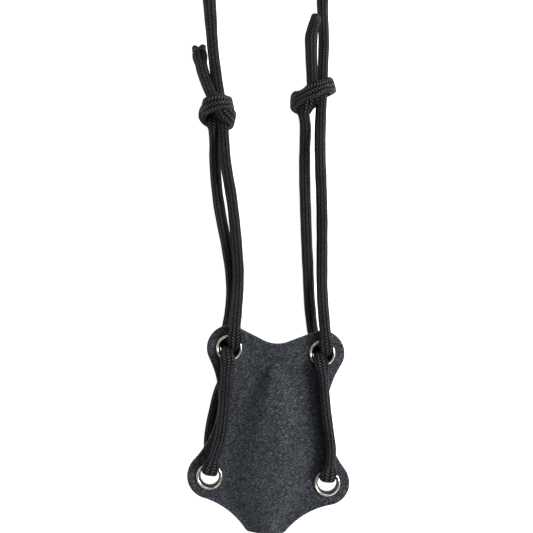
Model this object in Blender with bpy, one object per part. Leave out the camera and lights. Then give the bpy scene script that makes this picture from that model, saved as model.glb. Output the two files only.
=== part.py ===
"""A neck sheath for a small blade: two moulded sheets, four eyelets and one braided cord.

Metres, +Z up. The origin is the centre of the sheath, on the plane where its two sheets part.
The sheath lies on its back on a table: +Z is its front, +Y is the end that the cord hangs it by.
"""
import math
from collections import Counter

import bmesh
import bpy
from mathutils import Vector
from mathutils.geometry import delaunay_2d_cdt

# Sheath
SHEATH_LENGTH = 0.0715
SHEATH_WIDTH = 0.0568
UPPER_WIDTH = 0.0482
SHEET_THICKNESS = 0.0015
LOBE_MARGIN = 0.00325
LOWER_EYELET_RISE = 0.01855
WAIST_RADIUS = 0.0316
FLANK_RADIUS = 0.0270
NOTCH_RADIUS = 0.0105
NOTCH_DEPTH = 0.00545
NOSE_WIDTH = 0.0150
NOSE_RADIUS = 0.0022

# Pocket for the blade, formed half in each sheet
POCKET_HEIGHT = 0.0026
POCKET_SLOPE = 0.0034
POCKET_TO_EYELET = 0.00145
POCKET_TIP_BELOW_TOP = 0.01075
POCKET_BELLY_RISE = 0.01775
POCKET_SHOULDER_RISE = 0.01275
POCKET_CURVE = 2.3
MOUTH_HALF_WIDTH = 0.0054

# Eyelets
BORE_RADIUS = 0.00345
BARREL_WALL = 0.00035
FLANGE_RADIUS = 0.0046
FLANGE_THICKNESS = 0.00065

# Cord, its knots and its coil
CORD_RADIUS = 0.0020
KNOT_RADIUS = 0.0059
KNOT_LENGTH = 0.0104
KNOT_CHAMFER = 0.0012
COIL_CENTRE = (-0.0110, 0.1960)
COIL_MEAN_RADIUS = 0.0220
COIL_THICKNESS = 0.0082
COIL_CORNER = 0.0012
TIE_WIDTH = 0.0080
TIE_THICKNESS = 0.0006
TIP_RADIUS = 0.0022
TIP_REACH = 0.0014

# Clearances
FIT_GAP = 0.0003
KNOT_GAP = 0.00035

# Fineness
GRID_CELL = 0.0030
EDGE_SPACING = 0.0020
ARC_STEP = math.radians(14)
EYELET_SIDES = 24
COIL_SIDES = 48
CORD_POINT_SPACING = 0.0095

# Places that follow from the sizes above
LOBE_RADIUS = FLANGE_RADIUS + LOBE_MARGIN
TOP_Y = SHEATH_LENGTH / 2
NOSE_Y = -SHEATH_LENGTH / 2
UPPER_EYELET = (UPPER_WIDTH / 2 - LOBE_RADIUS, TOP_Y - LOBE_RADIUS)
LOWER_EYELET = (SHEATH_WIDTH / 2 - LOBE_RADIUS, NOSE_Y + LOWER_EYELET_RISE)
SHEET_INSIDE_Z = FIT_GAP / 2
SHEET_OUTSIDE_Z = SHEET_INSIDE_Z + SHEET_THICKNESS
POCKET_HALF_WIDTH = LOWER_EYELET[0] - FLANGE_RADIUS - POCKET_TO_EYELET
TABLE_Z = -0.0062

# Routes: x, y, z and the cord's girth there as a share of its full girth
LEFT_STANDING = [
    (-0.0146, 0.0279, 0.0000, 0.68),
    (-0.0146, 0.0283, 0.0012, 0.68),
    (-0.0146, 0.0292, 0.0027, 0.68),
    (-0.0145, 0.0306, 0.0041, 0.75),
    (-0.0145, 0.0326, 0.0045, 0.85),
    (-0.0146, 0.0365, 0.0041, 1.0),
    (-0.0143, 0.0440, 0.0024, 1.0),
    (-0.0145, 0.0540, 0.0002, 1.0),
    (-0.0157, 0.0635, -0.0014, 1.0),
    (-0.0171, 0.0725, -0.0019, 1.0),
    (-0.0188, 0.0820, -0.0012, 1.0),
    (-0.0208, 0.0900, -0.0002, 1.0),
    (-0.0228, 0.1010, 0.0000, 1.0),
    (-0.0261, 0.1205, 0.0000, 1.0),
    (-0.0279, 0.1310, 0.0000, 1.0),
    (-0.0293, 0.1400, -0.0009, 1.0),
    (-0.0306, 0.1500, -0.0027, 1.0),
    (-0.0317, 0.1600, -0.0036, 1.0),
    (-0.0325, 0.1700, -0.0034, 1.0),
    (-0.0329, 0.1782, -0.0031, 1.0),
]
RIGHT_STANDING = [
    (0.0178, 0.0279, 0.0000, 0.68),
    (0.0178, 0.0283, 0.0012, 0.68),
    (0.0177, 0.0292, 0.0027, 0.68),
    (0.0174, 0.0306, 0.0041, 0.75),
    (0.0171, 0.0326, 0.0045, 0.85),
    (0.0166, 0.0365, 0.0041, 1.0),
    (0.0157, 0.0430, 0.0025, 1.0),
    (0.0149, 0.0510, -0.0001, 1.0),
    (0.0145, 0.0600, -0.0021, 1.0),
    (0.0140, 0.0700, -0.0030, 1.0),
    (0.0134, 0.0790, -0.0027, 1.0),
    (0.0125, 0.0880, -0.0012, 1.0),
    (0.0117, 0.0960, -0.0002, 1.0),
    (0.0111, 0.1060, 0.0000, 1.0),
    (0.0106, 0.1280, 0.0000, 1.0),
    (0.0104, 0.1380, 0.0000, 1.0),
    (0.0095, 0.1475, -0.0014, 1.0),
    (0.0092, 0.1570, -0.0029, 1.0),
    (0.0101, 0.1675, -0.0028, 1.0),
    (0.0117, 0.1782, -0.0011, 1.0),
]
LEFT_BACK_RUN = [
    (-0.0146, 0.0275, -0.0004, 0.68),
    (-0.0146, 0.0268, -0.0022, 0.68),
    (-0.0147, 0.0256, -0.0037, 0.75),
    (-0.0149, 0.0236, -0.0044, 0.85),
    (-0.0158, 0.0205, -0.0042, 1.0),
    (-0.0187, 0.0130, -0.0042, 1.0),
    (-0.0204, 0.0050, -0.0042, 1.0),
    (-0.0215, -0.0040, -0.0042, 1.0),
    (-0.0213, -0.0086, -0.0043, 0.94),
    (-0.0208, -0.0124, -0.0045, 0.84),
    (-0.0205, -0.0146, -0.0043, 0.80),
    (-0.0205, -0.0155, -0.0032, 0.80),
    (-0.0205, -0.0159, -0.0016, 0.80),
    (-0.0205, -0.0160, -0.0003, 0.80),
]
RIGHT_BACK_RUN = [
    (0.0178, 0.0275, -0.0004, 0.68),
    (0.0178, 0.0268, -0.0022, 0.68),
    (0.0177, 0.0256, -0.0037, 0.75),
    (0.0175, 0.0236, -0.0044, 0.85),
    (0.0172, 0.0200, -0.0042, 1.0),
    (0.0171, 0.0120, -0.0042, 1.0),
    (0.0176, 0.0030, -0.0042, 1.0),
    (0.0190, -0.0050, -0.0042, 1.0),
    (0.0199, -0.0091, -0.0043, 0.94),
    (0.0204, -0.0124, -0.0045, 0.84),
    (0.0205, -0.0146, -0.0043, 0.80),
    (0.0205, -0.0155, -0.0032, 0.80),
    (0.0205, -0.0159, -0.0016, 0.80),
    (0.0205, -0.0160, -0.0003, 0.80),
]
LEFT_FRONT_RUN = [
    (-0.0205, -0.0160, 0.0001, 0.80),
    (-0.0205, -0.0159, 0.0016, 0.80),
    (-0.0205, -0.0155, 0.0032, 0.80),
    (-0.0204, -0.0146, 0.0043, 0.80),
    (-0.0199, -0.0124, 0.0047, 0.84),
    (-0.0186, -0.0086, 0.0044, 0.94),
    (-0.0175, -0.0040, 0.0041, 1.0),
    (-0.0169, 0.0060, 0.0041, 1.0),
    (-0.0167, 0.0170, 0.0041, 1.0),
    (-0.0170, 0.0230, 0.0045, 0.85),
    (-0.0176, 0.0252, 0.0041, 0.75),
    (-0.0178, 0.0266, 0.0027, 0.68),
    (-0.0178, 0.0274, 0.0012, 0.68),
    (-0.0178, 0.0278, 0.0003, 0.68),
]
RIGHT_FRONT_RUN = [
    (0.0205, -0.0160, 0.0001, 0.80),
    (0.0205, -0.0159, 0.0016, 0.80),
    (0.0205, -0.0155, 0.0032, 0.80),
    (0.0206, -0.0146, 0.0043, 0.80),
    (0.0210, -0.0119, 0.0047, 0.84),
    (0.0212, -0.0081, 0.0044, 0.94),
    (0.0207, -0.0035, 0.0041, 1.0),
    (0.0189, 0.0055, 0.0041, 1.0),
    (0.0172, 0.0165, 0.0041, 1.0),
    (0.0157, 0.0230, 0.0045, 0.85),
    (0.0149, 0.0252, 0.0041, 0.75),
    (0.0146, 0.0266, 0.0027, 0.68),
    (0.0146, 0.0274, 0.0012, 0.68),
    (0.0146, 0.0278, 0.0003, 0.68),
]
LEFT_RETURN = [
    (-0.0178, 0.0280, 0.0000, 0.68),
    (-0.0178, 0.0286, -0.0018, 0.68),
    (-0.0178, 0.0296, -0.0036, 0.70),
    (-0.0178, 0.0311, -0.0044, 0.80),
    (-0.0177, 0.0330, -0.0044, 0.88),
    (-0.0173, 0.0360, -0.0042, 1.0),
    (-0.0165, 0.0440, -0.0042, 1.0),
    (-0.0172, 0.0530, -0.0042, 1.0),
    (-0.0192, 0.0630, -0.0042, 1.0),
    (-0.0216, 0.0720, -0.0042, 1.0),
    (-0.0236, 0.0810, -0.0042, 1.0),
    (-0.0249, 0.0900, -0.0042, 1.0),
    (-0.0254, 0.0980, -0.0037, 0.92),
    (-0.0259, 0.1040, -0.0032, 0.84),
]
RIGHT_RETURN = [
    (0.0146, 0.0280, 0.0000, 0.68),
    (0.0146, 0.0286, -0.0018, 0.68),
    (0.0144, 0.0296, -0.0036, 0.70),
    (0.0140, 0.0311, -0.0044, 0.80),
    (0.0135, 0.0330, -0.0044, 0.88),
    (0.0125, 0.0360, -0.0042, 1.0),
    (0.0109, 0.0460, -0.0042, 1.0),
    (0.0100, 0.0550, -0.0042, 1.0),
    (0.0088, 0.0660, -0.0042, 1.0),
    (0.0078, 0.0770, -0.0042, 1.0),
    (0.0069, 0.0870, -0.0042, 1.0),
    (0.0063, 0.0970, -0.0042, 1.0),
    (0.0063, 0.1060, -0.0035, 0.92),
    (0.0070, 0.1124, -0.0021, 0.84),
]
LEFT_TAIL = [
    (-0.0287, 0.1156, 0.0023, 0.84),
    (-0.0300, 0.1190, 0.0013, 0.94),
    (-0.0315, 0.1240, -0.0012, 1.0),
    (-0.0325, 0.1290, -0.0036, 1.0),
    (-0.0329, 0.1314, -0.0041, 1.0),
]
RIGHT_TAIL = [
    (0.0074, 0.1236, 0.0022, 0.84),
    (0.0068, 0.1280, 0.0024, 0.94),
    (0.0064, 0.1340, 0.0024, 1.0),
    (0.0063, 0.1400, 0.0022, 1.0),
    (0.0063, 0.1448, 0.0018, 1.0),
]

# Each knot: its centre, and the way that it slides along its standing cord
KNOTS = {
    "left": ((-0.02434, 0.1100, 0.0), (-0.1670, 0.9860, 0.0)),
    "right": ((0.01083, 0.1180, 0.0), (-0.0227, 0.9997, 0.0)),
}


# Scene and materials


def clear_scene():
    for obj in list(bpy.data.objects):
        bpy.data.objects.remove(obj, do_unlink=True)


def principled(name, colour, roughness, metallic=0.0):
    material = bpy.data.materials.new(name)
    material.use_nodes = True
    shader = material.node_tree.nodes["Principled BSDF"]
    shader.inputs["Base Color"].default_value = (*colour, 1.0)
    shader.inputs["Roughness"].default_value = roughness
    shader.inputs["Metallic"].default_value = metallic
    return material


def link(name, data, material=None):
    obj = bpy.data.objects.new(name, data)
    bpy.context.scene.collection.objects.link(obj)
    if material:
        data.materials.append(material)
    return obj


def hang_on(parent, obj):
    """Parents an object and leaves it where it is."""
    obj.parent = parent
    obj.matrix_parent_inverse = parent.matrix_world.inverted()


def mesh_from(name, build):
    """A mesh of its own, filled by build(bm), with every face pointing out."""
    bm = bmesh.new()
    build(bm)
    bmesh.ops.recalc_face_normals(bm, faces=bm.faces)
    mesh = bpy.data.meshes.new(name)
    bm.to_mesh(mesh)
    bm.free()
    return mesh


# Outline of the sheath, as rounds joined by their common tangents
# A round is its centre, its radius, and 1 where the outline bulges or -1 where it is hollow


def mirrored(rounds):
    return [((-x, y), radius, turn) for (x, y), radius, turn in reversed(rounds)]


def hollow_between(first, second, radius):
    """The hollow round that touches two bulging ones, on the right of the way from first to second."""
    (x1, y1), radius1, _ = first
    (x2, y2), radius2, _ = second
    span = math.hypot(x2 - x1, y2 - y1)
    reach1 = radius1 + radius
    reach2 = radius2 + radius
    along = (span ** 2 + reach1 ** 2 - reach2 ** 2) / (2 * span)
    aside = math.sqrt(reach1 ** 2 - along ** 2)
    way_x = (x2 - x1) / span
    way_y = (y2 - y1) / span
    centre = (x1 + along * way_x + aside * way_y, y1 + along * way_y - aside * way_x)
    return centre, radius, -1


def outline_rounds():
    nose = ((NOSE_WIDTH / 2 - NOSE_RADIUS, NOSE_Y + NOSE_RADIUS), NOSE_RADIUS, 1)
    lower = (LOWER_EYELET, LOBE_RADIUS, 1)
    upper = (UPPER_EYELET, LOBE_RADIUS, 1)
    flank = hollow_between(nose, lower, FLANK_RADIUS)
    waist = hollow_between(lower, upper, WAIST_RADIUS)
    notch = ((0.0, TOP_Y - NOTCH_DEPTH + NOTCH_RADIUS), NOTCH_RADIUS, -1)
    right = [nose, flank, lower, waist, upper]
    return right + [notch] + mirrored(right)


def heading(first, second):
    """The direction of the straight line that leaves one round and meets the next."""
    (x1, y1), radius1, turn1 = first
    (x2, y2), radius2, turn2 = second
    aside = turn2 * radius2 - turn1 * radius1
    along = math.sqrt(max(0.0, (x2 - x1) ** 2 + (y2 - y1) ** 2 - aside ** 2))
    return math.atan2(y2 - y1, x2 - x1) - math.atan2(aside, along)


def outline_points():
    rounds = outline_rounds()
    points = []
    for index, here in enumerate(rounds):
        (x, y), radius, turn = here
        start = heading(rounds[index - 1], here)
        end = heading(here, rounds[(index + 1) % len(rounds)])
        sweep = turn * ((turn * (end - start)) % (2 * math.pi))
        steps = max(1, math.ceil(abs(sweep) / ARC_STEP), math.ceil(abs(sweep) * radius / EDGE_SPACING))
        for step in range(steps + 1):
            angle = start + sweep * step / steps
            points.append((x + turn * radius * math.sin(angle), y - turn * radius * math.cos(angle)))
    return spaced_loop(points)


def spaced_loop(points):
    """The closed loop with its doubled points dropped and its long straights divided."""
    loop = []
    for (x1, y1), (x2, y2) in zip(points, points[1:] + points[:1]):
        length = math.dist((x1, y1), (x2, y2))
        if length < EDGE_SPACING / 10:
            continue
        steps = math.ceil(length / EDGE_SPACING)
        for step in range(steps):
            loop.append((x1 + (x2 - x1) * step / steps, y1 + (y2 - y1) * step / steps))
    return loop


def hole_points(centre):
    radius = BORE_RADIUS + BARREL_WALL + FIT_GAP
    turns = [2 * math.pi * side / EYELET_SIDES for side in range(EYELET_SIDES)]
    return [(centre[0] + radius * math.cos(a), centre[1] + radius * math.sin(a)) for a in turns]


# Sheets


def smooth_step(value):
    value = min(1.0, max(0.0, value))
    return value * value * (3 - 2 * value)


def pocket_half_width(y):
    tip = TOP_Y - POCKET_TIP_BELOW_TOP
    belly = NOSE_Y + POCKET_BELLY_RISE
    shoulder = NOSE_Y + POCKET_SHOULDER_RISE
    if y > belly:
        share = min(1.0, (y - belly) / (tip - belly))
        return POCKET_HALF_WIDTH * (1 - share ** POCKET_CURVE)
    return max(MOUTH_HALF_WIDTH, POCKET_HALF_WIDTH - max(0.0, shoulder - y))


def pocket_slope_width(y):
    return min(POCKET_SLOPE, pocket_half_width(y) / 2)


def pocket_rise(x, y):
    """How far a sheet stands off the parting plane at a point of the pocket."""
    slope = pocket_slope_width(y)
    if slope <= 0:
        return 0.0
    return POCKET_HEIGHT * smooth_step((pocket_half_width(y) - abs(x)) / slope)


def inside(point, loop):
    x, y = point
    crossings = 0
    for (x1, y1), (x2, y2) in zip(loop, loop[1:] + loop[:1]):
        if (y1 > y) != (y2 > y) and x < x1 + (y - y1) * (x2 - x1) / (y2 - y1):
            crossings += 1
    return crossings % 2 == 1


def stations(y):
    """Distances from the middle line for one row of points: the pocket's crown, slope and foot, and the flat."""
    half_width = pocket_half_width(y)
    slope = pocket_slope_width(y)
    marks = [0.0]
    if slope > GRID_CELL / 3:
        crown = half_width - slope
        marks += [crown / 2, crown, half_width - slope / 2, half_width]
    while marks[-1] < SHEATH_WIDTH / 2:
        marks.append(marks[-1] + GRID_CELL)
    return marks


def face_points(loops):
    """Points over the sheet's face, in rows, kept clear of its edge and its holes."""
    rows = math.ceil(SHEATH_LENGTH / GRID_CELL / 2)
    points = []
    for row in range(-rows, rows + 1):
        y = row * GRID_CELL
        marks = stations(y)
        for x in [-mark for mark in marks[:0:-1]] + marks:
            near = min(math.dist((x, y), edge) for loop in loops for edge in loop)
            if near > EDGE_SPACING * 0.7 and inside((x, y), loops[0]):
                points.append((x, y))
    return points


def trimmed_face():
    """The sheet's outline and holes filled with triangles: points, and triangles as point numbers."""
    loops = [outline_points()] + [hole_points(place) for place in eyelet_places().values()]
    points = []
    edges = []
    for loop in loops:
        first = len(points)
        edges += [(first + index, first + (index + 1) % len(loop)) for index in range(len(loop))]
        points += loop
    points += face_points(loops)
    points, _, triangles, *_ = delaunay_2d_cdt([Vector(p) for p in points], edges, [], 0, 1e-7)
    kept = []
    for triangle in triangles:
        middle = sum((points[corner] for corner in triangle), Vector((0, 0))) / 3
        if inside(middle, loops[0]) and not any(inside(middle, hole) for hole in loops[1:]):
            kept.append(triangle)
    return points, kept


def formed_sheet(bm, side):
    """The trimmed face pressed to the pocket's shape, twice, and joined round its edges; side is 1 in front."""
    points, triangles = trimmed_face()
    edges = Counter()
    for triangle in triangles:
        for one, two in zip(triangle, triangle[1:] + triangle[:1]):
            edges[frozenset((one, two))] += 1
    faces = []
    for level in (SHEET_INSIDE_Z, SHEET_OUTSIDE_Z):
        verts = [bm.verts.new((x, y, side * (level + pocket_rise(x, y)))) for x, y in points]
        for triangle in triangles:
            bm.faces.new([verts[corner] for corner in triangle])
        faces.append(verts)
    inner, outer = faces
    for (one, two), uses in edges.items():
        if uses == 1:
            bm.faces.new((inner[one], inner[two], outer[two], outer[one]))


def eyelet_places():
    upper_x, upper_y = UPPER_EYELET
    lower_x, lower_y = LOWER_EYELET
    return {
        "eyelet_upper_left": (-upper_x, upper_y),
        "eyelet_upper_right": (upper_x, upper_y),
        "eyelet_lower_left": (-lower_x, lower_y),
        "eyelet_lower_right": (lower_x, lower_y),
    }


def make_sheets(plastic):
    for name, side in (("front_shell", 1), ("back_shell", -1)):
        link(name, mesh_from(name, lambda bm: formed_sheet(bm, side)), plastic)


# Turned rings: eyelets, coil and knots


def turned(bm, profile, sides):
    """Turns a closed profile of (radius, height) points about Z."""
    rings = []
    for side in range(sides):
        angle = 2 * math.pi * side / sides
        ring = [bm.verts.new((r * math.cos(angle), r * math.sin(angle), z)) for r, z in profile]
        rings.append(ring)
    for ring, following in zip(rings, rings[1:] + rings[:1]):
        for index in range(len(profile)):
            bm.faces.new((ring[index - 1], ring[index], following[index], following[index - 1]))


def turned_object(name, profile, sides, material):
    mesh = mesh_from(name, lambda bm: turned(bm, profile, sides))
    mesh.shade_smooth()
    mesh.set_sharp_from_angle(angle=math.radians(40))
    return link(name, mesh, material)


def eyelet_profile():
    """Barrel with a flange rolled out at each end, from the bore's foot round to its outside."""
    barrel = BORE_RADIUS + BARREL_WALL
    seat = SHEET_OUTSIDE_Z + FIT_GAP
    crown = seat + FLANGE_THICKNESS
    roll = FLANGE_RADIUS - BORE_RADIUS
    half = [
        (BORE_RADIUS, seat),
        (BORE_RADIUS + 0.15 * roll, crown - 0.3 * FLANGE_THICKNESS),
        (BORE_RADIUS + 0.5 * roll, crown),
        (BORE_RADIUS + 0.85 * roll, crown - 0.3 * FLANGE_THICKNESS),
        (FLANGE_RADIUS, seat),
        (barrel, seat),
    ]
    return half + [(r, -z) for r, z in reversed(half)]


def make_eyelets(metal):
    for name, (x, y) in eyelet_places().items():
        eyelet = turned_object(name, eyelet_profile(), EYELET_SIDES, metal)
        eyelet.location = (x, y, 0)


def rounded_section(half_width, half_height, corner, centre=0.0):
    """A rectangle with cut corners, as (radius, height) points."""
    wide = half_width - corner
    tall = half_height - corner
    return [
        (centre - wide, -half_height),
        (centre + wide, -half_height),
        (centre + half_width, -tall),
        (centre + half_width, tall),
        (centre + wide, half_height),
        (centre - wide, half_height),
        (centre - half_width, tall),
        (centre - half_width, -tall),
    ]


def coil_height():
    """The coil's middle, which its tie lifts off the table."""
    return TABLE_Z + TIE_THICKNESS + FIT_GAP + COIL_THICKNESS / 2


def make_coil(cord):
    half = COIL_THICKNESS / 2
    section = rounded_section(half, half, COIL_CORNER, COIL_MEAN_RADIUS)
    coil = turned_object("neck_coil", section, COIL_SIDES, cord)
    coil.location = (*COIL_CENTRE, coil_height())


def make_tie(strap):
    """A flat strap closed round the coil's far side, with room for the coil's curve inside it."""
    half = COIL_THICKNESS / 2
    hollow_radius = COIL_MEAN_RADIUS - half
    bow = hollow_radius - math.sqrt(hollow_radius ** 2 - (TIE_WIDTH / 2) ** 2)
    inside_loop = rounded_section(half + bow / 2 + FIT_GAP, half + FIT_GAP, COIL_CORNER)
    grown = FIT_GAP + TIE_THICKNESS
    outside_loop = rounded_section(half + bow / 2 + grown, half + grown, COIL_CORNER)

    def build(bm):
        ends = []
        for x in (-TIE_WIDTH / 2, TIE_WIDTH / 2):
            ends.append([[bm.verts.new((x, y, z)) for y, z in loop] for loop in (inside_loop, outside_loop)])
        (in_1, out_1), (in_2, out_2) = ends
        for one, two in ((in_1, in_2), (out_1, out_2), (in_1, out_1), (in_2, out_2)):
            for index in range(len(one)):
                bm.faces.new((one[index - 1], one[index], two[index], two[index - 1]))

    tie = link("coil_tie", mesh_from("coil_tie", build), strap)
    tie.location = (COIL_CENTRE[0], COIL_CENTRE[1] + COIL_MEAN_RADIUS - bow / 2, coil_height())


# Cord


def smooth_route(route):
    """Points along the smooth curve through the route's own points, closer where those are close."""
    stops = [Vector(point) for point in route]
    stops = [2 * stops[0] - stops[1]] + stops + [2 * stops[-1] - stops[-2]]
    points = []
    for before, start, end, after in zip(stops, stops[1:], stops[2:], stops[3:]):
        steps = max(1, round(math.dist(end[:3], start[:3]) / CORD_POINT_SPACING))
        for step in range(steps):
            t = step / steps
            points.append(
                0.5 * (2 * start + (end - before) * t
                       + (2 * before - 5 * start + 4 * end - after) * t ** 2
                       + (3 * start - before - 3 * end + after) * t ** 3)
            )
    return points + [stops[-2]]


def cord_tube(name, route, material, radius=CORD_RADIUS):
    curve = bpy.data.curves.new(name, "CURVE")
    curve.dimensions = "3D"
    curve.bevel_depth = radius
    curve.bevel_resolution = 2
    curve.use_fill_caps = True
    points = smooth_route(route)
    spline = curve.splines.new("POLY")
    spline.points.add(len(points) - 1)
    for spot, (x, y, z, girth) in zip(spline.points, points):
        spot.co = (x, y, z, 1)
        spot.radius = girth
    spline.use_smooth = True
    return link(name, curve, material)


def tip_route(tail):
    """The melted end: a short cap that carries on from the tail, a fit gap beyond it."""
    last = Vector(tail[-1][:3])
    way = (last - Vector(tail[-2][:3])).normalized()
    return [
        (*(last + way * (FIT_GAP + share * TIP_REACH)), girth)
        for share, girth in ((0, 0.9), (0.43, 1.0), (1, 0.85))
    ]


def make_fixed_cord(side, standing, back_run, front_run, returning, cord):
    cord_tube(f"{side}_standing_cord", standing, cord)
    cord_tube(f"{side}_back_run", back_run, cord)
    cord_tube(f"{side}_front_run", front_run, cord)
    cord_tube(f"{side}_return_cord", returning, cord)


def knot_profile():
    bore = CORD_RADIUS + KNOT_GAP
    middle = (bore + KNOT_RADIUS) / 2
    return rounded_section((KNOT_RADIUS - bore) / 2, KNOT_LENGTH / 2, KNOT_CHAMFER / 2, middle)


def make_sliding_knot(side, tail, cord, melted):
    """A knot tied round the standing cord, with its tail, on an empty that lies on the slide's axis."""
    centre, way = KNOTS[side]
    slide = link(f"{side}_knot_slide", None)
    slide.location = centre
    slide.rotation_euler = Vector(way).to_track_quat("Y", "Z").to_euler()
    bpy.context.view_layer.update()
    knot = turned_object(f"{side}_knot", knot_profile(), EYELET_SIDES, cord)
    knot.location = centre
    knot.rotation_euler = Vector(way).to_track_quat("Z", "Y").to_euler()
    bpy.context.view_layer.update()
    hang_on(slide, knot)
    hang_on(slide, cord_tube(f"{side}_tail", tail, cord))
    hang_on(slide, cord_tube(f"{side}_cord_tip", tip_route(tail), melted, TIP_RADIUS))


def make_sheath():
    plastic = principled("grained_plastic", (0.021, 0.022, 0.031), 0.55)
    metal = principled("nickel_plate", (0.72, 0.69, 0.62), 0.28, 1.0)
    cord = principled("braided_cord", (0.010, 0.011, 0.013), 0.75)
    melted = principled("melted_cord", (0.012, 0.012, 0.013), 0.35)
    strap = principled("tie_strap", (0.030, 0.030, 0.032), 0.90)
    make_sheets(plastic)
    make_eyelets(metal)
    make_coil(cord)
    make_tie(strap)
    make_fixed_cord("left", LEFT_STANDING, LEFT_BACK_RUN, LEFT_FRONT_RUN, LEFT_RETURN, cord)
    make_fixed_cord("right", RIGHT_STANDING, RIGHT_BACK_RUN, RIGHT_FRONT_RUN, RIGHT_RETURN, cord)
    make_sliding_knot("left", LEFT_TAIL, cord, melted)
    make_sliding_knot("right", RIGHT_TAIL, cord, melted)


clear_scene()
make_sheath()
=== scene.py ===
import math

import bmesh
import bpy
import numpy as np
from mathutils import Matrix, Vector
from mathutils.geometry import delaunay_2d_cdt


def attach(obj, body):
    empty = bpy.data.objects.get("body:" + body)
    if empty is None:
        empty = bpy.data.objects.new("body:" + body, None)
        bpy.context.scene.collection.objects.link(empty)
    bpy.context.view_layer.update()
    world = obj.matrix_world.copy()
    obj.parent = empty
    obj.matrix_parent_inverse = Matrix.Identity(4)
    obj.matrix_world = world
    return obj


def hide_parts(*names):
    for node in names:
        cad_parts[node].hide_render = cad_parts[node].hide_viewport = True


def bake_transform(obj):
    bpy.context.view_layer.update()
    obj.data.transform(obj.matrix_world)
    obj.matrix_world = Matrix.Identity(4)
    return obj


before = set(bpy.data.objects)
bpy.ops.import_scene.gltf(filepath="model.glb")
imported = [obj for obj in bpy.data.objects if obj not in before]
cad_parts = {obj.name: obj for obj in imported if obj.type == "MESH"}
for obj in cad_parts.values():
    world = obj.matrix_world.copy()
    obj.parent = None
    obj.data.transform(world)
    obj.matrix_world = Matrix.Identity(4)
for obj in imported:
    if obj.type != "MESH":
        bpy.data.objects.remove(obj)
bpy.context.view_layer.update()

# Sizes, in metres, as in the solid model
CORD_RADIUS = 0.0020
CORD_GIRTH = 2 * math.pi * CORD_RADIUS
TABLE_Z = -0.0062
LYING_Z = TABLE_Z + CORD_RADIUS
SHEATH_LENGTH = 0.0715
SHEATH_WIDTH = 0.0568
UPPER_WIDTH = 0.0482
SHEET_INSIDE_Z = 0.00015
SHEET_THICKNESS = 0.0015
SHEET_OUTSIDE_Z = SHEET_INSIDE_Z + SHEET_THICKNESS
FLANGE_RADIUS = 0.0046
LOBE_MARGIN = 0.00325
LOBE_RADIUS = FLANGE_RADIUS + LOBE_MARGIN
LOWER_EYELET_RISE = 0.01855
WAIST_RADIUS = 0.0316
FLANK_RADIUS = 0.0270
NOTCH_RADIUS = 0.0105
NOTCH_DEPTH = 0.00545
NOSE_WIDTH = 0.0150
NOSE_RADIUS = 0.0022
TOP_Y = SHEATH_LENGTH / 2
NOSE_Y = -SHEATH_LENGTH / 2
UPPER_EYELET = (UPPER_WIDTH / 2 - LOBE_RADIUS, TOP_Y - LOBE_RADIUS)
LOWER_EYELET = (SHEATH_WIDTH / 2 - LOBE_RADIUS, NOSE_Y + LOWER_EYELET_RISE)
BORE_RADIUS = 0.00345
COIL_CENTRE = (-0.0110, 0.1960)
COIL_HEIGHT = -0.0012
COIL_RADIUS = 0.0220
COIL_INNER = 0.0200
COIL_OUTER = 0.0240

# The eyelets' holes and the pocket's form, which are finer here than in the solid model
HOLE_RADIUS = 0.0041
POCKET_SLOPE_RISE = 0.0021
POCKET_CROWN_RISE = 0.00065
POCKET_TIP_BELOW_TOP = 0.01075
POCKET_BELLY_RISE = 0.01775
POCKET_SHOULDER_RISE = 0.01275
POCKET_TO_EYELET = 0.00145
POCKET_HALF_WIDTH = LOWER_EYELET[0] - FLANGE_RADIUS - POCKET_TO_EYELET
MOUTH_HALF_WIDTH = 0.0062

# Routes of the cord: x, y, z and its girth there as a share of its full girth
LEFT_STANDING = [
    (-0.0146, 0.0279, 0.0000, 0.78),
    (-0.0146, 0.0283, 0.0012, 0.78),
    (-0.0146, 0.0292, 0.0027, 0.80),
    (-0.0145, 0.0306, 0.0041, 0.84),
    (-0.0145, 0.0326, 0.0045, 0.90),
    (-0.0146, 0.0365, 0.0041, 1.0),
    (-0.0143, 0.0440, 0.0024, 1.0),
    (-0.0145, 0.0540, 0.0002, 1.0),
    (-0.0157, 0.0635, -0.0014, 1.0),
    (-0.0171, 0.0725, -0.0019, 1.0),
    (-0.0188, 0.0820, -0.0012, 1.0),
    (-0.0208, 0.0900, -0.0002, 1.0),
    (-0.0223, 0.0990, 0.0000, 1.0),
    (-0.0228, 0.1050, 0.0000, 1.0),
    (-0.0241, 0.1120, 0.0000, 1.0),
    (-0.0259, 0.1205, 0.0000, 1.04),
    (-0.0279, 0.1310, 0.0000, 1.0),
    (-0.0291, 0.1400, -0.0009, 1.08),
    (-0.0304, 0.1500, -0.0024, 1.18),
    (-0.0320, 0.1600, -0.0037, 1.10),
    (-0.0335, 0.1700, LYING_Z, 1.0),
    (-0.0345, 0.1800, LYING_Z, 1.0),
]
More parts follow.
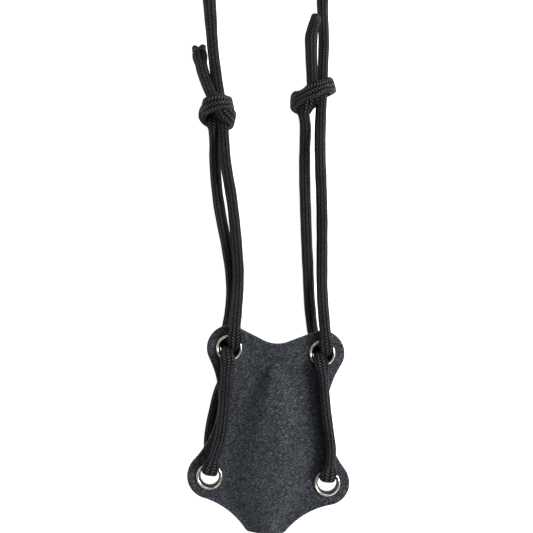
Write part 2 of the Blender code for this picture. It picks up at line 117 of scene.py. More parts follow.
RIGHT_STANDING = [
    (0.0178, 0.0279, 0.0000, 0.78),
    (0.0178, 0.0283, 0.0012, 0.78),
    (0.0177, 0.0292, 0.0027, 0.80),
    (0.0174, 0.0306, 0.0041, 0.84),
    (0.0171, 0.0326, 0.0045, 0.90),
    (0.0166, 0.0365, 0.0041, 1.0),
    (0.0157, 0.0430, 0.0025, 1.0),
    (0.0149, 0.0510, -0.0001, 1.0),
    (0.0145, 0.0600, -0.0021, 1.0),
    (0.0140, 0.0700, -0.0030, 1.0),
    (0.0134, 0.0790, -0.0027, 1.0),
    (0.0125, 0.0880, -0.0012, 1.0),
    (0.0117, 0.0960, -0.0002, 1.0),
    (0.0111, 0.1060, 0.0000, 1.0),
    (0.0108, 0.1280, 0.0000, 0.96),
    (0.0106, 0.1380, 0.0000, 0.96),
    (0.0095, 0.1475, -0.0014, 1.0),
    (0.0093, 0.1570, -0.0030, 1.0),
    (0.0103, 0.1670, -0.0028, 1.0),
    (0.0122, 0.1780, -0.0008, 1.0),
]
LEFT_BACK_RUN = [
    (-0.0146, 0.0275, -0.0004, 0.78),
    (-0.0146, 0.0268, -0.0022, 0.78),
    (-0.0147, 0.0256, -0.0037, 0.80),
    (-0.0149, 0.0236, -0.0044, 0.88),
    (-0.0158, 0.0205, -0.0042, 1.0),
    (-0.0187, 0.0130, -0.0042, 1.0),
    (-0.0204, 0.0050, -0.0042, 1.0),
    (-0.0215, -0.0040, -0.0042, 1.0),
    (-0.0213, -0.0086, -0.0043, 0.96),
    (-0.0208, -0.0124, -0.0045, 0.88),
    (-0.0205, -0.0143, -0.0044, 0.98),
    (-0.0205, -0.0151, -0.0032, 0.98),
    (-0.0205, -0.0155, -0.0016, 0.98),
    (-0.0205, -0.0156, -0.0003, 0.98),
]
RIGHT_BACK_RUN = [
    (0.0178, 0.0275, -0.0004, 0.78),
    (0.0178, 0.0268, -0.0022, 0.78),
    (0.0177, 0.0256, -0.0037, 0.80),
    (0.0175, 0.0236, -0.0044, 0.88),
    (0.0172, 0.0200, -0.0042, 1.0),
    (0.0171, 0.0120, -0.0042, 1.0),
    (0.0176, 0.0030, -0.0042, 1.0),
    (0.0190, -0.0050, -0.0042, 1.0),
    (0.0199, -0.0091, -0.0043, 0.96),
    (0.0204, -0.0124, -0.0045, 0.88),
    (0.0205, -0.0143, -0.0044, 0.98),
    (0.0205, -0.0151, -0.0032, 0.98),
    (0.0205, -0.0155, -0.0016, 0.98),
    (0.0205, -0.0156, -0.0003, 0.98),
]
LEFT_FRONT_RUN = [
    (-0.0205, -0.0155, 0.0016, 0.98),
    (-0.0205, -0.0151, 0.0032, 0.98),
    (-0.0204, -0.0143, 0.0044, 0.98),
    (-0.0199, -0.0124, 0.0047, 1.0),
    (-0.0188, -0.0086, 0.0044, 1.0),
    (-0.0174, -0.0030, 0.0041, 1.0),
    (-0.0168, 0.0050, 0.0041, 1.0),
    (-0.0167, 0.0140, 0.0041, 1.0),
    (-0.0167, 0.0215, 0.0045, 0.97),
    (-0.0165, 0.0243, 0.0043, 0.92),
    (-0.0169, 0.0261, 0.0030, 0.86),
    (-0.0174, 0.0272, 0.0013, 0.82),
    (-0.0177, 0.0278, 0.0003, 0.80),
]
RIGHT_FRONT_RUN = [
    (0.0205, -0.0155, 0.0016, 0.98),
    (0.0205, -0.0151, 0.0032, 0.98),
    (0.0206, -0.0143, 0.0044, 0.98),
    (0.0209, -0.0119, 0.0047, 1.0),
    (0.0210, -0.0081, 0.0044, 1.0),
    (0.0207, -0.0035, 0.0041, 1.0),
    (0.0189, 0.0055, 0.0041, 1.0),
    (0.0174, 0.0150, 0.0041, 1.0),
    (0.0166, 0.0215, 0.0045, 0.97),
    (0.0160, 0.0243, 0.0043, 0.92),
    (0.0154, 0.0261, 0.0030, 0.86),
    (0.0149, 0.0272, 0.0013, 0.82),
    (0.0147, 0.0278, 0.0003, 0.80),
]
LEFT_RETURN = [
    (-0.0178, 0.0280, 0.0000, 0.78),
    (-0.0178, 0.0286, -0.0018, 0.78),
    (-0.0178, 0.0296, -0.0036, 0.80),
    (-0.0178, 0.0311, -0.0044, 0.86),
    (-0.0177, 0.0330, -0.0044, 0.92),
    (-0.0173, 0.0360, -0.0042, 1.0),
    (-0.0165, 0.0440, -0.0042, 1.0),
    (-0.0172, 0.0530, -0.0042, 1.0),
    (-0.0192, 0.0630, -0.0042, 1.0),
    (-0.0216, 0.0720, -0.0042, 1.0),
    (-0.0236, 0.0810, -0.0042, 1.0),
    (-0.0249, 0.0900, -0.0042, 1.0),
    (-0.0256, 0.0965, -0.0038, 1.0),
]
RIGHT_RETURN = [
    (0.0146, 0.0280, 0.0000, 0.78),
    (0.0146, 0.0286, -0.0018, 0.78),
    (0.0144, 0.0296, -0.0036, 0.80),
    (0.0140, 0.0311, -0.0044, 0.86),
    (0.0135, 0.0330, -0.0044, 0.92),
    (0.0125, 0.0360, -0.0042, 1.0),
    (0.0109, 0.0460, -0.0042, 1.0),
    (0.0100, 0.0550, -0.0042, 1.0),
    (0.0088, 0.0660, -0.0042, 1.0),
    (0.0078, 0.0770, -0.0042, 1.0),
    (0.0069, 0.0870, -0.0042, 1.0),
    (0.0063, 0.0970, -0.0042, 1.0),
    (0.0062, 0.1030, -0.0038, 1.0),
]
LEFT_TAIL = [
    (-0.0297, 0.1190, 0.0016, 1.02),
    (-0.0312, 0.1240, -0.0010, 1.08),
    (-0.0325, 0.1290, -0.0034, 1.14),
    (-0.0331, 0.1325, -0.0038, 1.18),
]
RIGHT_TAIL = [
    (0.0068, 0.1280, 0.0024, 1.02),
    (0.0062, 0.1330, 0.0026, 1.08),
    (0.0060, 0.1374, 0.0032, 1.09),
    (0.0066, 0.1414, 0.0040, 1.0),
    (0.0074, 0.1442, 0.0045, 0.92),
]

# Knots: centre on the standing cord, the way that cord runs there, and the knot's own route, in
# millimetres from the centre: across, along and above the standing cord
KNOTS = {
    "left": ((-0.02434, 0.1100, 0.0), (-0.1670, 0.9860), [
        (-2.4, -9.0, -3.4), (-2.0, -6.4, -2.5), (-1.8, -4.1, -1.6), (-1.5, -1.0, -1.8), (0.0, 1.4, -3.9),
        (2.8, 2.0, -2.6), (3.9, 2.2, 0.6), (2.7, 2.4, 4.0), (-0.3, 2.7, 5.8), (-2.4, 3.0, 4.7),
        (-3.4, 2.9, 2.0), (-3.3, 2.0, -1.4), (-2.3, -0.2, -4.2), (-0.4, -3.2, -4.6), (2.6, -5.2, -3.2),
        (4.3, -4.6, -0.4), (3.8, -2.8, 2.4), (1.4, -0.6, 3.6), (-0.8, 1.6, 3.4), (-2.2, 3.8, 3.0),
        (-2.9, 6.2, 2.6),
    ]),
    "right": ((0.01083, 0.1180, 0.0), (-0.0227, 0.9997), [
        (-4.0, -10.6, -3.2), (-4.1, -7.6, -1.8), (-4.1, -4.8, -0.6), (-3.5, -1.6, -0.8), (-2.0, 0.8, -2.4),
        (0.2, 2.6, -4.0), (3.0, 3.8, -3.0), (4.1, 4.5, 0.0), (3.0, 4.4, 3.4), (0.2, 3.2, 5.0),
        (-3.0, 1.4, 5.4), (-5.8, -0.9, 4.2), (-7.4, -2.8, 1.6), (-7.6, -4.2, -2.0), (-6.0, -5.0, -4.2),
        (-3.6, -4.8, -3.6), (-2.4, -3.2, 0.4), (-2.4, -1.0, 2.8), (-3.0, 2.0, 3.0), (-3.9, 5.4, 2.6),
    ]),
}


# Camera and light


def add_camera():
    data = bpy.data.cameras.new("camera")
    camera = bpy.data.objects.new("camera", data)
    bpy.context.scene.collection.objects.link(camera)
    distance = 0.44
    view_width = 0.1866
    data.lens = data.sensor_width * distance / view_width
    data.clip_start = 0.01
    data.clip_end = 10
    camera.location = (-0.0049, 0.0570, distance)
    camera.rotation_euler = (0, 0, math.radians(3.3))
    bpy.context.scene.camera = camera


def add_light(name, place, target, size, power, colour=(1.0, 1.0, 1.0)):
    data = bpy.data.lights.new(name, "AREA")
    data.shape = "DISK"
    data.size = size
    data.energy = power
    data.color = colour
    light = bpy.data.objects.new(name, data)
    bpy.context.scene.collection.objects.link(light)
    light.location = place
    light.rotation_euler = (Vector(target) - Vector(place)).to_track_quat("-Z", "Y").to_euler()


def add_lights():
    middle = (0.0, 0.05, 0.0)
    add_light("key", (0.70, 0.22, 0.62), middle, 0.30, 10.5, (1.0, 0.99, 0.97))
    add_light("fill", (-0.70, 0.10, 0.80), middle, 0.70, 0.30, (0.94, 0.97, 1.0))
    add_light("top", (0.20, 0.70, 0.70), middle, 0.40, 2.0)
    add_light("foot", (0.42, -0.62, 0.50), middle, 0.50, 1.6)
    world = bpy.data.worlds.new("studio")
    bpy.context.scene.world = world
    world.use_nodes = True
    background = world.node_tree.nodes["Background"]
    background.inputs["Color"].default_value = (0.97, 0.98, 1.0, 1.0)
    background.inputs["Strength"].default_value = 0.095
    bpy.context.scene.view_settings.view_transform = "Standard"


# Materials


class Value:
    """A quantity that varies over a surface. Sums on it add nodes to its material."""

    def __init__(self, finish, socket):
        self.finish = finish
        self.socket = socket

    def maths(self, operation, *numbers):
        return self.finish.node("ShaderNodeMath", {"operation": operation}, dict(enumerate(numbers)))

    def __add__(self, other):
        return self.maths("ADD", self, other)

    __radd__ = __add__

    def __sub__(self, other):
        return self.maths("SUBTRACT", self, other)

    def __rsub__(self, other):
        return self.maths("SUBTRACT", other, self)

    def __mul__(self, other):
        return self.maths("MULTIPLY", self, other)

    __rmul__ = __mul__

    def __pow__(self, power):
        return self.maths("POWER", self, power)

    def fraction(self):
        return self.maths("FRACT", self)

    def sine(self):
        return self.maths("SINE", self)

    def cosine(self):
        return self.maths("COSINE", self)

    def size(self):
        return self.maths("ABSOLUTE", self)

    def between(self, low, high):
        """0 below low, 1 above high, and a smooth rise from one to the other."""
        settings = {"interpolation_type": "SMOOTHSTEP"}
        sockets = {"Value": self, "From Min": low, "From Max": high}
        return self.finish.node("ShaderNodeMapRange", settings, sockets)


class Finish:
    """A material under construction."""

    def __init__(self, name):
        self.material = bpy.data.materials.new(name)
        self.material.use_nodes = True
        self.tree = self.material.node_tree
        self.shader = self.tree.nodes["Principled BSDF"]

    def node(self, kind, settings, sockets, output=0):
        """Adds a node: its settings, then the values or links of its sockets. Gives back one output."""
        made = self.tree.nodes.new(kind)
        for name, setting in settings.items():
            setattr(made, name, setting)
        for name, value in sockets.items():
            if isinstance(value, Value):
                self.tree.links.new(value.socket, made.inputs[name])
            else:
                made.inputs[name].default_value = value
        return Value(self, made.outputs[output])

    def place(self):
        """A point's place on the piece, in metres."""
        return self.node("ShaderNodeTexCoord", {}, {}, "Object")

    def parts(self, place):
        """The X, Y and Z of a place."""
        split = self.tree.nodes.new("ShaderNodeSeparateXYZ")
        self.tree.links.new(place.socket, split.inputs[0])
        return [Value(self, output) for output in split.outputs]

    def moved(self, place, turn, stretch):
        """The place turned about Z, then scaled."""
        sockets = {"Vector": place, "Rotation": (0.0, 0.0, turn)}
        turned = self.node("ShaderNodeMapping", {"vector_type": "POINT"}, sockets)
        return self.node("ShaderNodeVectorMath", {"operation": "MULTIPLY"}, {0: turned, 1: stretch})

    def noise(self, place, scale, detail=2.0, roughness=0.5):
        sockets = {"Vector": place, "Scale": scale, "Detail": detail, "Roughness": roughness}
        return self.node("ShaderNodeTexNoise", {}, sockets)

    def cells(self, place, scale, feature="F1"):
        sockets = {"Vector": place, "Scale": scale}
        return self.node("ShaderNodeTexVoronoi", {"feature": feature}, sockets, "Distance")

    def colours(self, first, second, share):
        """The mix of two colours, each a colour or another mix."""
        pair = [(*c, 1.0) if isinstance(c, tuple) else c for c in (first, second)]
        sockets = {0: share, 6: pair[0], 7: pair[1]}
        return self.node("ShaderNodeMix", {"data_type": "RGBA"}, sockets, 2)

    def relief(self, height, depth):
        sockets = {"Strength": 1.0, "Distance": depth, "Height": height}
        return self.node("ShaderNodeBump", {}, sockets)

    def set(self, **sockets):
        """Sets the shader's sockets; a name's underscores stand for spaces."""
        for name, value in sockets.items():
            socket = self.shader.inputs[name.replace("_", " ")]
            if isinstance(value, Value):
                self.tree.links.new(value.socket, socket)
            elif isinstance(value, tuple):
                socket.default_value = (*value, 1.0)
            else:
                socket.default_value = value
        return self.material


def braided_nylon():
    """Black cord braided in herringbone: pairs of slanting stitches in rows along it. Its colour holds
    painted shade in the gaps between stitches and painted sheen on their crests.
    """
    finish = Finish("braided_nylon")
    rows = 10
    stitch = 0.00086
    around, along, _ = finish.parts(finish.node("ShaderNodeUVMap", {"uv_map": "braid"}, {}))
    turn = around * (2 * math.pi)
    parts = {"X": turn.cosine() * CORD_RADIUS, "Y": turn.sine() * CORD_RADIUS, "Z": along}
    skin = finish.node("ShaderNodeCombineXYZ", {}, parts)
    row = around * rows
    across = row.fraction()
    lean = (row * 0.5).fraction().between(0.499, 0.501) * 2 - 1
    wander = finish.noise(skin, 320, 1.0) - 0.5
    phase = along * (1 / stitch) + lean * across * 0.9 + lean * 0.25 + wander * 0.22
    ridge = 1 - (phase.fraction() * 2 - 1).size() ** 2.0
    edge = 1 - (across * 2 - 1).size() ** 4.0
    stitches = ridge * edge
    strands = ((phase * 5 + lean * across * 2).fraction() * 2 - 1).size()
    fuzz = finish.noise(skin, 5200, 3.0, 0.7)
    broad = finish.noise(skin, 90, 2.0)
    height = stitches + strands * 0.10 + fuzz * 0.18
    # Painted shade: the gaps between stitches are painted near black and the stitch crests lighter.
    crest = stitches.between(0.30, 0.95)
    gaps_shaded = finish.colours((0.0004, 0.0005, 0.0007), (0.0105, 0.0113, 0.0132), crest)
    # Painted sheen: a light grey is painted on the stitch crests as highlights, where the light would catch
    # them.
    painted_sheen_mask = (stitches * (fuzz + broad * 0.3)).between(0.42, 0.80)
    with_painted_highlights = finish.colours(gaps_shaded, (0.150, 0.158, 0.178), painted_sheen_mask * 0.68)
    tinted = finish.colours(with_painted_highlights, (0.013, 0.011, 0.020), broad.between(0.50, 0.70) * 0.30)
    return finish.set(
        Base_Color=tinted,
        Roughness=0.74 - stitches * 0.20 + fuzz * 0.10,
        Normal=finish.relief(height, 0.00060),
        Specular_IOR_Level=0.17,
    )


def melted_nylon():
    """The fused end of a cord: glossy skin with bubbles and pinch marks."""
    finish = Finish("melted_nylon")
    place = finish.place()
    lumps = finish.noise(place, 900, 3.0, 0.6)
    ribs = finish.noise(finish.moved(place, 0.1, (1.0, 0.25, 1.0)), 2600, 2.0)
    skin = finish.colours((0.0015, 0.0015, 0.0018), (0.0080, 0.0078, 0.0082), lumps.between(0.45, 0.75))
    return finish.set(
        Base_Color=skin,
        Roughness=0.38 + lumps * 0.35,
        Normal=finish.relief(lumps + ribs * 0.4, 0.00045),
        Specular_IOR_Level=0.3,
    )


def grained_plastic():
    """Slate black moulded sheet with a leather-like grain of short creases that lean up to the right. The
    grain's hollows are painted dark as shade and its raised tips painted light as highlights.
    """
    finish = Finish("grained_plastic")
    place = finish.place()
    lean = math.radians(-31)
    warp = finish.node("ShaderNodeTexNoise", {}, {"Vector": place, "Scale": 1000.0, "Detail": 1.0}, "Color")
    sway = {0: warp, 1: (0.0004, 0.0004, 0.0004), 2: place}
    bent = finish.node("ShaderNodeVectorMath", {"operation": "MULTIPLY_ADD"}, sway)
    along = finish.moved(bent, lean, (0.30, 1.0, 0.7))
    creases = finish.noise(along, 1500, 1.0, 0.5)
    pebbles = finish.cells(along, 2100, "DISTANCE_TO_EDGE")
    fine = finish.noise(place, 5200, 3.0, 0.6)
    broad = finish.noise(place, 55, 2.0, 0.5)
    tint = finish.noise(finish.moved(place, lean, (0.6, 1.0, 1.0)), 520, 2.0)
    grain = (creases - 0.5).size().between(0.0, 0.08) * 0.60 + pebbles.between(0.02, 0.26) * 0.40
    height = grain + fine * 0.10
    # Painted shade: the grain's hollows are painted near black and its raised parts lighter.
    shaded_pits = finish.colours((0.0012, 0.0017, 0.0034), (0.0400, 0.0460, 0.0600), grain)
    # Painted highlight: a light blue-grey is painted on the grain's raised tips.
    with_painted_highlights = finish.colours(shaded_pits, (0.150, 0.170, 0.190), (grain + fine * 0.3).between(0.80, 1.20) * 0.40)
    blue = finish.colours(with_painted_highlights, (0.036, 0.036, 0.068), tint.between(0.52, 0.68) * 0.18)
    patched = finish.colours(blue, (0.020, 0.026, 0.034), broad.between(0.50, 0.72) * 0.10)
    return finish.set(
        Base_Color=patched,
        Roughness=0.50 + (1 - grain) * 0.20 + fine * 0.08,
        Normal=finish.relief(height, 0.00034),
        Specular_IOR_Level=0.42,
    )


def nickel_plate():
    """Warm bright nickel with fine scratches. Inside the bore, where the cord rubs it, it is rougher, and
    its colour is painted dark as shade.
    """
    finish = Finish("nickel_plate")
    place = finish.place()
    scratches = finish.noise(finish.moved(place, 0.5, (1.0, 0.06, 1.0)), 5200, 2.0, 0.7)
    blotches = finish.noise(place, 420, 3.0, 0.6)
    x, y, _ = finish.parts(place)
    squares = []
    for eyelet_x, eyelet_y in (UPPER_EYELET, LOWER_EYELET):
        squares.append((x.size() - eyelet_x).size() ** 2.0 + (y - eyelet_y).size() ** 2.0)
    from_centre = squares[0].maths("MINIMUM", *squares) ** 0.5
    # The bore's mask: there the colour is painted dark as shade, and the roughness rises.
    shaded_bore = 1 - from_centre.between(0.0035, 0.0040)
    plate = finish.colours((0.86, 0.84, 0.77), (0.60, 0.56, 0.47), blotches.between(0.50, 0.75) * 0.5)
    return finish.set(
        Base_Color=finish.colours(plate, (0.055, 0.051, 0.044), shaded_bore),
        Metallic=1.0,
        Roughness=0.18 + blotches * 0.14 + scratches * 0.06 + shaded_bore * 0.30,
        Normal=finish.relief(scratches, 0.000004),
    )


def hook_and_loop():
    """Woven black strap with a napped face."""
    finish = Finish("hook_and_loop")
    place = finish.place()
    nap = finish.noise(place, 3000, 3.0, 0.7)
    tufts = finish.cells(place, 1500)
    height = nap * 0.6 + (1 - tufts) * 0.6
    return finish.set(
        Base_Color=finish.colours((0.006, 0.006, 0.007), (0.030, 0.030, 0.033), height.between(0.35, 0.85)),
        Roughness=0.80 + nap * 0.15,
        Normal=finish.relief(height, 0.00020),
        Sheen_Weight=0.25,
        Sheen_Roughness=0.5,
        Sheen_Tint=(0.5, 0.5, 0.55),
    )


def white_floor():
    finish = Finish("white_floor")
    haze = finish.noise(finish.place(), 3.0, 2.0)
    return finish.set(
        Base_Color=finish.colours((0.92, 0.92, 0.92), (0.96, 0.96, 0.96), haze),
        Roughness=0.9,
        Specular_IOR_Level=0.1,
        Emission_Color=(1.0, 1.0, 1.0),
        Emission_Strength=0.92,
    )


# Meshes


def add_mesh(name, verts, faces, material, smooth_angle=None):
    mesh = bpy.data.meshes.new(name)
    mesh.from_pydata([tuple(map(float, v)) for v in verts], [], [tuple(map(int, f)) for f in faces])
    mesh.materials.append(material)
    mesh.shade_smooth()
    if smooth_angle:
        mesh.set_sharp_from_angle(angle=math.radians(smooth_angle))
    mesh.update()
    made = bpy.data.objects.new(name, mesh)
    bpy.context.scene.collection.objects.link(made)
    return made


def add_piece(name, verts, faces, material, smooth_angle=None):
    piece = add_mesh(name, verts, faces, material, smooth_angle)
    return piece


def facing_out(piece):
    """Turns every face of a closed piece to point out."""
    bm = bmesh.new()
    bm.from_mesh(piece.data)
    bmesh.ops.recalc_face_normals(bm, faces=bm.faces)
    bm.to_mesh(piece.data)
    bm.free()


def ring_faces(rings, sides, closed=False):
    """The faces between rings of points, each of so many sides; closed joins the last ring to the first."""
    faces = []
    for ring in range(rings if closed else rings - 1):
        here = ring * sides
        there = (ring + 1) % rings * sides
        for side in range(sides):
            after = (side + 1) % sides
            faces.append((here + side, here + after, there + after, there + side))
    return faces


def ends(rings, sides):
    """The two faces that close a tube."""
    last = (rings - 1) * sides
    return [tuple(range(sides))[::-1], tuple(range(last, last + sides))]


# Cords


def smooth_curve(stops, spacing):
    """Evenly spaced points along the smooth curve through the stops; columns after the third ride along."""
    stops = np.array(stops, float)
    padded = np.vstack([2 * stops[0] - stops[1], stops, 2 * stops[-1] - stops[-2]])
    steps = 12
    shares = np.arange(steps)[:, None] / steps
    fine = []
    for before, start, end, after in zip(padded, padded[1:], padded[2:], padded[3:]):
        bend = 2 * before - 5 * start + 4 * end - after
        swing = 3 * start - before - 3 * end + after
        fine.append(0.5 * (2 * start + (end - before) * shares + bend * shares ** 2 + swing * shares ** 3))
    return evenly(np.vstack(fine + [stops[-1:]]), spacing)


def evenly(points, spacing):
    """The same line with its points an even spacing apart."""
    steps = np.linalg.norm(np.diff(points[:, :3], axis=0), axis=1)
    reached = np.concatenate([[0], np.cumsum(steps)])
    marks = np.linspace(0, reached[-1], max(2, round(reached[-1] / spacing) + 1))
    return np.column_stack([np.interp(marks, reached, column) for column in points.T])


def length_of(points):
    return float(np.linalg.norm(np.diff(points[:, :3], axis=0), axis=1).sum())


def settle(line, held, others, gap, rounds, pull, hold_in=None):
    """Draws a cord tight by short steps: it keeps a gap to itself, to other cords and to the table.

    held marks the points that stay. hold_in, if given, moves the points back into a space of its own.
    """
    stiffness = 0.06
    longest_push = 0.0003
    pushes_a_round = 4
    line = line.copy()
    free = ~held
    spacing = length_of(line) / (len(line) - 1)
    apart = int(math.ceil(1.5 * gap / spacing))
    one, two = np.triu_indices(len(line), k=apart)
    for _ in range(rounds):
        bend = np.zeros_like(line)
        bend[1:-1] = line[:-2] + line[2:] - 2 * line[1:-1]
        bend_change = np.zeros_like(line)
        bend_change[2:-2] = bend[1:-3] + bend[3:-1] - 2 * bend[2:-2]
        line += (pull * bend - stiffness * bend_change) * free[:, None]
        for _ in range(pushes_a_round):
            way = line[one] - line[two]
            distance = np.linalg.norm(way, axis=1)
            close = distance < gap
            push = np.zeros_like(line)
            share = (0.5 * (gap - distance[close]) / distance[close])[:, None] * way[close]
            np.add.at(push, one[close], share)
            np.add.at(push, two[close], -share)
            if len(others):
                way = line[:, None] - others[None]
                distance = np.linalg.norm(way, axis=2)
                nearest = distance.argmin(axis=1)
                rows = np.arange(len(line))
                away = distance[rows, nearest]
                short = np.clip(gap - away, 0, None) / np.maximum(away, 1e-6)
                push += short[:, None] * way[rows, nearest]
            size = np.linalg.norm(push, axis=1, keepdims=True)
            push *= np.minimum(1, longest_push / np.maximum(size, 1e-9))
            line += push * free[:, None]
            line[:, 2] = np.where(free, np.maximum(line[:, 2], LYING_Z), line[:, 2])
        if hold_in:
            line = np.where(free[:, None], hold_in(line), line)
    return line


def framed(points):
    """Tangents, and a direction across at each point that turns as little as it can along the cord."""
    tangents = np.gradient(points, axis=0)
    tangents /= np.linalg.norm(tangents, axis=1, keepdims=True)
    across = np.zeros_like(points)
    first = np.cross(tangents[0], (0.0, 0.0, 1.0))
    if np.linalg.norm(first) < 0.3:
        first = np.cross(tangents[0], (1.0, 0.0, 0.0))
    across[0] = first / np.linalg.norm(first)
    for index in range(len(points) - 1):
        step = points[index + 1] - points[index]
        reach = step @ step
        carried = across[index] - 2 / reach * (step @ across[index]) * step
        tangent = tangents[index] - 2 / reach * (step @ tangents[index]) * step
        second = tangents[index + 1] - tangent
        size = second @ second
        if size > 1e-12:
            carried = carried - 2 / size * (second @ carried) * second
        across[index + 1] = carried / np.linalg.norm(carried)
    return tangents, across


def softened(values, rounds):
    """Each point drawn towards its neighbours, so many times."""
    for _ in range(rounds):
        padded = np.pad(values, ((1, 1), (0, 0)), mode="edge")
        values = (padded[:-2] + 2 * padded[1:-1] + padded[2:]) / 4
    return values


def eased(points, end_y=1.0):
    """The points without kinks from just past the eyelets' tight bends up to end_y."""
    start_y = 0.034
    fade = 0.008
    y = points[:, 1:2]
    share = smooth_step((y - start_y) / fade) * smooth_step((end_y - y) / fade)
    return points + (softened(points, 60) - points) * share


def smooth_step(value):
    value = np.clip(value, 0, 1)
    return value * value * (3 - 2 * value)


def cord_mesh(name, points, girth, material, sides=36):
    """A braided tube: it flattens where it bends, and its ends are rounded in."""
    tangents, across = framed(points)
    other = np.cross(tangents, across)
    spacing = length_of(points) / (len(points) - 1)
    bend = softened(np.gradient(tangents, axis=0) / spacing, 8)
    tightness = np.linalg.norm(bend, axis=1)
    inward = bend / np.maximum(tightness, 1e-6)[:, None]
    gentle = 0.06
    flattest = 0.42
    flat = np.clip((tightness * CORD_RADIUS - gentle) * 1.25, 0, flattest)
    sideways = np.cross(tangents, inward)
    angles = 2 * np.pi * np.arange(sides) / sides
    reached = np.arange(len(points)) * spacing
    uneven = 1 + 0.012 * np.sin(reached * 730 + 1.3) + 0.010 * np.sin(reached * 410)
    rounding = np.minimum(1, np.minimum(reached, reached[::-1]) / CORD_RADIUS * 1.6)
    radius = CORD_RADIUS * girth * uneven * np.sqrt(np.clip(1 - (1 - rounding) ** 2 * 0.8, 0, 1))
    verts = []
    for angle in angles:
        out = math.cos(angle) * across + math.sin(angle) * other
        depth = (out * inward).sum(axis=1)
        width = (out * sideways).sum(axis=1)
        power = 2 + 4 * flat
        squarer = (np.abs(depth) ** power + np.abs(width) ** power) ** (-1 / power)
        squarer = np.where(flat > 0.01, squarer, 1.0)
        out = out * squarer[:, None]
        depth = depth * squarer
        width = width * squarer
        out = out - inward * (depth * flat * 0.7)[:, None] + sideways * (width * flat)[:, None]
        verts.append(points + out * radius[:, None])
    verts = np.stack(verts, axis=1).reshape(-1, 3)
    rings = len(points)
    piece = add_piece(name, verts, ring_faces(rings, sides) + ends(rings, sides), material)
    lay_maps(piece.data, rings, sides, spacing)
    return piece


def lay_maps(mesh, rings, sides, spacing):
    """Two maps: turns round the cord against metres along it, and strips beside each other for baking."""
    braid = mesh.uv_layers.new(name="braid")
    strips = mesh.uv_layers.new(name="OFBake")
    count = max(1, round(math.sqrt((rings - 1) * spacing / CORD_GIRTH)))
    per_strip = math.ceil((rings - 1) / count)
    tall = 0.96 / count
    first_ring, first_side = np.indices((rings - 1, sides)).reshape(2, -1, 1)
    ring = first_ring + np.array([0, 0, 1, 1])
    side = first_side + np.array([0, 1, 1, 0])
    plain = np.stack([side / sides, ring * spacing], axis=2)
    strip = first_ring // per_strip
    within = (ring - strip * per_strip) / per_strip
    baked = np.stack([0.01 + 0.98 * within, 0.03 + strip * tall + side / sides * tall * 0.94], axis=2)
    turns = 2 * np.pi * np.arange(sides) / sides
    rim = 0.012 + 0.009 * np.column_stack([np.cos(turns), np.sin(turns)])
    caps = [rim, rim + (0.03, 0.0)]
    for layer, body in ((braid, plain), (strips, baked)):
        values = np.concatenate([body.reshape(-1, 2), *caps])
        layer.data.foreach_set("uv", values.astype(np.float32).ravel())
    mesh.uv_layers.active = braid


def wound(turns, radii, heights):
    """The coil, turn on turn: it starts outermost at the left, and ends at the right."""
    per_turn = 60
    stops = []
    for turn in np.linspace(0, turns, int(turns * per_turn) + 1):
        radius = np.interp(turn, *zip(*radii))
        height = np.interp(turn, *zip(*heights))
        angle = math.pi - 2 * math.pi * turn
        x = COIL_CENTRE[0] + radius * math.cos(angle)
        y = COIL_CENTRE[1] + radius * math.sin(angle)
        stops.append((x, y, height, 1.0))
    return stops


def in_tie(line):
    """The strands under the tie kept inside its loop."""
    reach = 0.0055
    x = line[:, 0] - COIL_CENTRE[0]
    y = line[:, 1] - COIL_CENTRE[1]
    radius = np.hypot(x, y)
    under = (y > 0) & (np.abs(x) < reach)
    kept = np.clip(radius, COIL_INNER, COIL_OUTER)
    scale = np.where(under, kept / np.maximum(radius, 1e-9), 1.0)
    pressed = np.clip(line[:, 2], COIL_HEIGHT - CORD_RADIUS, COIL_HEIGHT + CORD_RADIUS)
    height = np.where(under, pressed, line[:, 2])
    return np.column_stack([COIL_CENTRE[0] + x * scale, COIL_CENTRE[1] + y * scale, height])


def neck_cord(material):
    """From the upper left eyelet down and up the sheath, round the coil, and down the other side."""
    turns = 3.5
    inner = COIL_INNER
    outer = COIL_OUTER
    radii = [(0.0, outer), (0.60, outer), (0.85, inner), (2.20, inner), (2.42, outer), (turns, outer)]
    low = LYING_Z
    high = LYING_Z + 2 * CORD_RADIUS
    heights = [(0.0, low), (1.38, low), (1.58, high), (2.5, high), (3.0, high + 0.0004), (turns, high)]
    coil = wound(turns, radii, heights)
    before = LEFT_FRONT_RUN[::-1] + LEFT_BACK_RUN[::-1] + LEFT_STANDING[1:]
    after = RIGHT_STANDING[:0:-1] + RIGHT_BACK_RUN + RIGHT_FRONT_RUN
    loose = smooth_curve(LEFT_STANDING[-4:] + coil[3:-3] + RIGHT_STANDING[:-5:-1], 0.0014)
    held = np.zeros(len(loose), bool)
    held_points = 14
    held[:held_points] = True
    held[-held_points:] = True
    nothing = np.zeros((0, 3))
    loose[:, :3] = settle(loose[:, :3], held, nothing, gap=0.0039, rounds=60, pull=0.02, hold_in=in_tie)
    whole = np.vstack([
        smooth_curve(before[:-3], 0.0005)[:-1], loose[1:], smooth_curve(after[3:], 0.0005)[1:],
    ])
    line = evenly(whole, 0.00062)
    smoothed = eased(softened(line[:, :3], 3))
    piece = cord_mesh("neck_cord", smoothed, line[:, 3], material, sides=32)
    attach(piece, "sheath")
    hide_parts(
        "neck_coil", "left_standing_cord", "left_back_run", "left_front_run",
        "right_standing_cord", "right_back_run", "right_front_run",
    )
    return smoothed


